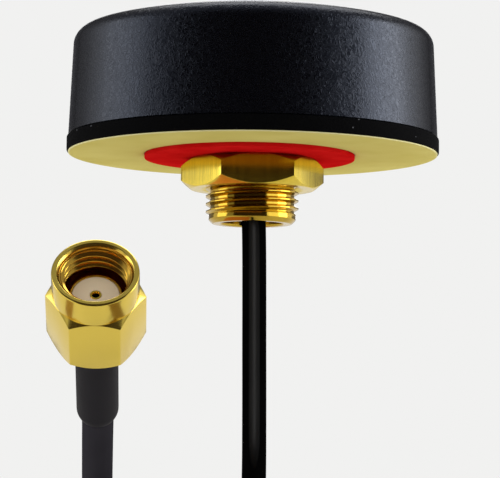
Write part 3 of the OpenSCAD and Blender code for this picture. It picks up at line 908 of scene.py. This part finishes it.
def plug_shell():
    stem_r, stem_bore_r, stem_back = 1.0, 0.75, -14.5
    groove_r, groove_low, groove_high = 2.17, -8.25, -7.85
    outline = eased([(stem_bore_r, stem_back), (stem_r, stem_back), (stem_r, neck_back), (neck_r, neck_back),
                     (neck_r, groove_low), (groove_r, groove_low), (groove_r, groove_high),
                     (neck_r, groove_high), (neck_r, flange_back), (3.22, flange_back, 0.1),
                     (3.22, flange_front, 0.1), (shell_r, flange_front), (shell_r, shell_front, 0.07),
                     (insulator_r + 0.02, shell_front, 0.07), (insulator_r + 0.02, face_back),
                     (stem_bore_r, face_back)])
    return turned("plug_inner_shell", outline, place=plug_place())


def plug_insulator():
    front = shell_front - 0.05
    outline = eased([(socket_r + 0.02, face_back), (insulator_r, face_back), (insulator_r, front, 0.1),
                     (socket_r + 0.02, front, 0.05)])
    return turned("plug_insulator_disc", outline, place=plug_place())


def centre_socket():
    front = shell_front - 0.05
    hole_back = shell_front - 2.6
    rings = [(socket_bore_r, hole_back), (socket_bore_r, front - 0.1), (socket_bore_r + 0.08, front),
             (socket_r - 0.04, front), (socket_r, front - 0.04), (socket_r, face_back), (0, face_back),
             (0, hole_back)]
    return turned("plug_centre_socket", rings, place=plug_place())


def plug_seal():
    top = flange_front + seal_h
    outline = eased([(shell_r + 0.02, flange_front, 0.1), (seal_r, flange_front, 0.1), (seal_r, top, 0.2),
                     (shell_r + 0.02, top, 0.2)])
    return turned("plug_seal_ring", outline, place=plug_place())


def shrink_sleeve():
    wall = sleeve_r - ferrule_r
    outline = eased([(sleeve_bore_r, sleeve_back), (sleeve_bore_r + wall, sleeve_back, 0.06),
                     (sleeve_r, sleeve_back + 0.7, 0.35), (sleeve_r, sleeve_front, 0.08),
                     (ferrule_r, sleeve_front), (ferrule_r, ferrule_back), (sleeve_bore_r, ferrule_back)])
    return turned("shrink_sleeve_tube", outline, place=plug_place())


def rounded_loop(low, high, radius, steps=6):
    """Points round a rectangle with rounded corners, as (x, z)."""
    points = []
    centres = [(high[0] - radius, high[1] - radius), (low[0] + radius, high[1] - radius),
               (low[0] + radius, low[1] + radius), (high[0] - radius, low[1] + radius)]
    for quarter, (x, z) in enumerate(centres):
        for k in range(steps + 1):
            angle = math.pi / 2 * (quarter + k / steps)
            points.append((x + radius * math.cos(angle), z + radius * math.sin(angle)))
    return points


def add_block(shape, low, high):
    made = bmesh.ops.create_cube(shape, size=1)["verts"]
    size = Vector(high) - Vector(low)
    bmesh.ops.scale(shape, vec=size, verts=made)
    bmesh.ops.translate(shape, vec=(Vector(low) + Vector(high)) / 2, verts=made)


def cable_tie():
    strap_t = 0.5
    strap_w = 2.5
    turns_end = COIL_AT[0] - COIL_OUTER_R + 3 * LEAD_D + LEAD_D / 2
    middle_y = (tie_low.y + tie_high.y) / 2
    low = (tie_low.x, tie_low.z)
    high = (turns_end + 0.2 + strap_t, tie_high.z)
    outer = rounded_loop(low, high, 1.6)
    inner = rounded_loop((low[0] + strap_t, low[1] + strap_t), (high[0] - strap_t, high[1] - strap_t), 1.1)
    shape = bmesh.new()
    edges = [(line, middle_y + half) for line in (outer, inner) for half in (-strap_w / 2, strap_w / 2)]
    loops = [[shape.verts.new((x, y, z)) for x, z in line] for line, y in edges]
    count = len(outer)
    for first, second in ((0, 1), (1, 3), (3, 2), (2, 0)):
        for k in range(count):
            after = (k + 1) % count
            shape.faces.new((loops[first][k], loops[first][after], loops[second][after], loops[second][k]))
    middle_z = (low[1] + high[1]) / 2
    lock_w = tie_high.y - tie_low.y
    lock = (high[0] - 0.1, middle_y - lock_w / 2, middle_z - 1.5)
    add_block(shape, lock, (lock[0] + 2.6, lock[1] + lock_w, lock[2] + 3))
    tail = (lock[0] + 1.4, middle_y - strap_w / 2, lock[2] + 2.9)
    add_block(shape, tail, (tail[0] + strap_t, tail[1] + strap_w, tail[2] + 1.2))
    return piece_from("cable_tie_strap", shape, bevel=0.08)


thread_tree = wound_thread_tree()
fit(radome_cap(), "root", "cap_plastic", "radome_cap")
fit(foam_pad(), "root", "pad_foam", "foam_pad")
fit(pad_liner(), "root", "liner_paper", "pad_liner")
stud = fit(threaded_stud(thread_tree), "root", "stud_brass", "threaded_stud")
fit(red_washer(), "washer", "red_fibre", "red_washer")
fit(mount_nut(), "nut", "nut_brass", "mount_nut")
plug_pieces = [
    fit(coupling_nut(thread_tree), "coupling", "coupling_gold", "coupling_nut"),
    fit(plug_shell(), "root", "plug_gold", "plug_body"),
    fit(plug_insulator(), "root", "plug_white", "plug_insulator"),
    fit(centre_socket(), "root", "socket_gold", "centre_socket"),
    fit(plug_seal(), "root", "plug_rubber", "plug_seal"),
    fit(shrink_sleeve(), "root", "sleeve_plastic", "shrink_sleeve"),
    fit(cable_tie(), "root", "tie_nylon", "cable_tie"),
    frame["nodes"]["crimp_ferrule"],
    frame["nodes"]["snap_ring"],
]
fit(lead, "root", "lead_jacket", "lead_drop", "lead_coil", "lead_tail")


# Stage and light

PALE = shade(241, 241, 240)
# The floor's colour in reflections, for the light it sends back, and for the eye
FLOOR_SEEN = (0.6, 0.59, 0.57, 1)
FLOOR_LIGHTING = (0.8, 0.8, 0.795, 1)
FLOOR_LOOKED_AT = (0.62, 0.62, 0.615, 1)
DARK_CARD = (0.022, 0.01, 0.005, 1)
WARM_CARD = (0.5, 0.2, 0.12, 1)
RIGHT_STREAK = (0.16, 0.1, 0.04, 1)
LEFT_STREAK = (0.25, 0.15, 0.06, 1)
CARD_LOW = -0.047
OVER_COIL = -0.0415


def level_corners(left, near, right, far, height):
    """The corners of a level rectangle."""
    return [(left, near, height), (right, near, height), (right, far, height), (left, far, height)]


def camera_rays(tree):
    """1 for rays that show the background itself, straight or through glass."""
    rays = tree.nodes.new("ShaderNodeLightPath").outputs
    return maths(tree, "MAXIMUM", rays["Is Camera Ray"], rays["Is Transmission Ray"])


def make_world():
    """Even light for matte surfaces, a dim room for reflections and the pale background for the eye."""
    world = bpy.data.worlds.new("studio")
    bpy.context.scene.world = world
    world.use_nodes = True
    tree = world.node_tree
    light = tree.nodes["Background"]
    direction = parts_of(tree, tree.nodes.new("ShaderNodeTexCoord").outputs["Generated"])
    behind = graded(tree, direction["Y"], -0.3, 0.4)
    room = blended(tree, behind, (0.3, 0.3, 0.32, 1), (0.22, 0.22, 0.24, 1))
    plain = blended(tree, in_reflections(tree), (0.75, 0.75, 0.76, 1), room)
    feed(tree, blended(tree, camera_rays(tree), plain, PALE), light.inputs["Color"])


def make_floor():
    """A pale floor that keeps the shadow near the object and runs into the background further out."""
    half = 6
    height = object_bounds()[0].z - 0.05 * MM
    mesh = bpy.data.meshes.new("floor")
    mesh.from_pydata(level_corners(-half, -half, half, half, height), [], [(0, 1, 2, 3)])
    floor = bpy.data.objects.new("floor", mesh)
    bpy.context.scene.collection.objects.link(floor)
    material, tree, shader, here = new_material("floor", Roughness=0.9, Specular_IOR_Level=0.1)
    lighting = blended(tree, in_reflections(tree), FLOOR_LIGHTING, FLOOR_SEEN)
    feed(tree, blended(tree, camera_rays(tree), lighting, FLOOR_LOOKED_AT), shader.inputs["Base Color"])
    glow = tree.nodes.new("ShaderNodeEmission")
    glow.inputs["Color"].default_value = PALE
    far = graded(tree, vector_maths(tree, "LENGTH", here), 0.16, 0.34)
    mix = tree.nodes.new("ShaderNodeMixShader")
    feed(tree, maths(tree, "MULTIPLY", far, camera_rays(tree)), mix.inputs[0])
    feed(tree, shader.outputs[0], mix.inputs[1])
    feed(tree, glow.outputs[0], mix.inputs[2])
    feed(tree, mix.outputs[0], tree.nodes["Material Output"].inputs["Surface"])
    mesh.materials.append(material)


def soft_light(name, azimuth, elevation, distance, width, height, radiance):
    """An area lamp aimed at the origin. Azimuth 0 is the camera's side, and 90 is the right."""
    data = bpy.data.lights.new(name, "AREA")
    data.shape = "RECTANGLE"
    data.size = width
    data.size_y = height
    data.energy = radiance * math.pi * width * height
    lamp = bpy.data.objects.new(name, data)
    turn, rise = math.radians(azimuth), math.radians(elevation)
    away = Vector((math.sin(turn) * math.cos(rise), -math.cos(turn) * math.cos(rise), math.sin(rise)))
    lamp.location = away * distance
    lamp.rotation_euler = away.to_track_quat("Z", "Y").to_euler()
    lamp.visible_camera = False
    bpy.context.scene.collection.objects.link(lamp)
    return lamp


def shine_on_one(lamp, piece):
    """Keeps a lamp's light to one piece."""
    alone = bpy.data.collections.new(lamp.name + " alone")
    alone.objects.link(piece)
    lamp.light_linking.receiver_collection = alone


def reflected_card(name, colour, corners):
    """A card that only reflections see."""
    mesh = bpy.data.meshes.new(name)
    mesh.from_pydata(corners, [], [(0, 1, 2, 3)])
    card = bpy.data.objects.new(name, mesh)
    bpy.context.scene.collection.objects.link(card)
    mesh.materials.append(new_material(name, Roughness=1.0, Base_Color=colour)[0])
    card.visible_camera = False
    card.visible_diffuse = False
    card.visible_shadow = False


def make_cards():
    """Cards that only reflections see, painting the metals' reflections: dark in front, warm under the nut,
    pale over the coil, and a streak for each side of the plug.
    """
    left, right, top, back, near = -0.88, 0.72, 1.1, -0.72, -0.1
    reflected_card("dark_card", DARK_CARD, [(left, back, CARD_LOW), (right, back, CARD_LOW),
                                            (right, back, top), (left, back, top)])
    reflected_card("dark_floor_card", DARK_CARD, [(left, back, CARD_LOW), (right, back, CARD_LOW),
                                                  (0.12, near, CARD_LOW), (-0.03, near, CARD_LOW)])
    reflected_card("warm_card", WARM_CARD, level_corners(-0.032, -0.015, -0.003, 0.026, CARD_LOW))
    reflected_card("pale_card", FLOOR_SEEN, level_corners(-0.016, -0.078, 0.034, -0.027, OVER_COIL))
    streak = OVER_COIL + 0.0005
    reflected_card("right_streak", RIGHT_STREAK, [(-0.006, -0.092, streak), (0.002, -0.092, streak),
                                                  (0.006, -0.06, streak), (-0.002, -0.06, streak)])
    reflected_card("left_streak", LEFT_STREAK, level_corners(-0.046, -0.084, -0.034, -0.06, CARD_LOW))


make_world()
make_floor()
make_cards()
# Azimuth, elevation, distance, width, height and radiance
soft_light("left light", -88, 12, 0.75, 0.43, 0.6, 1.9)
soft_light("left rear light", -113, 12, 0.75, 0.28, 0.6, 0.6)
soft_light("right light", 90, 12, 0.75, 0.42, 0.6, 4.3)
soft_light("right rear light", 116, 12, 0.75, 0.35, 0.6, 0.8)
# The next two light one piece each: the lead's narrow highlight and the stud's bright right side
shine_on_one(soft_light("lead light", 0, 2, 0.7, 0.22, 0.2, 3.2), lead)
shine_on_one(soft_light("stud light", 57, 2, 0.7, 0.43, 0.3, 1.5), stud)
soft_light("top light", 170, 62, 0.9, 0.8, 0.6, 2.2)
soft_light("rear light", 180, 14, 0.9, 0.35, 0.3, 2.0)
bpy.context.scene.view_settings.view_transform = "Standard"
